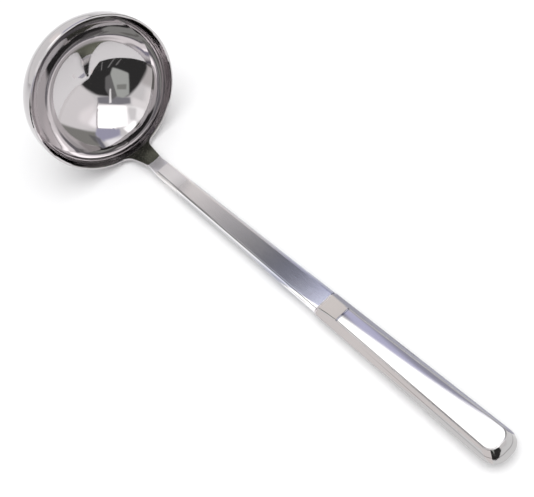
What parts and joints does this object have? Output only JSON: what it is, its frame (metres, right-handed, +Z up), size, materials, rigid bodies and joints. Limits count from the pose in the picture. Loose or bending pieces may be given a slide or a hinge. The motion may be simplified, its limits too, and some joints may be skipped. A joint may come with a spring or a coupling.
{
  "type": "soup ladle",
  "caption": "Stainless soup ladle: deep round bowl with a drawn, troughed neck, a flat tapering shank and a hollow handle with bevelled sides and a rounded end.",
  "frame": {"origin": "bottom centre of the ladle's box as it lies on a table, on the table's surface", "axes": "+Z up, +X from the bowl towards the end of the handle, and Y across, through the plane of symmetry at Y = 0"},
  "size_m": [0.333, 0.092, 0.0909],
  "materials": {
    "polished_steel": "mirror polished, inside and out",
    "brushed_steel": "fine brushed along its length",
    "satin_steel": "satin polished"
  },
  "bodies": {
    "root": {"bowl": "polished_steel", "neck_weld": "brushed_steel", "shank": "brushed_steel", "handle_top_shell": "satin_steel", "handle_bottom_shell": "satin_steel", "seam_weld": "satin_steel", "mouth_weld": "brushed_steel"}
  },
  "joints": []
}
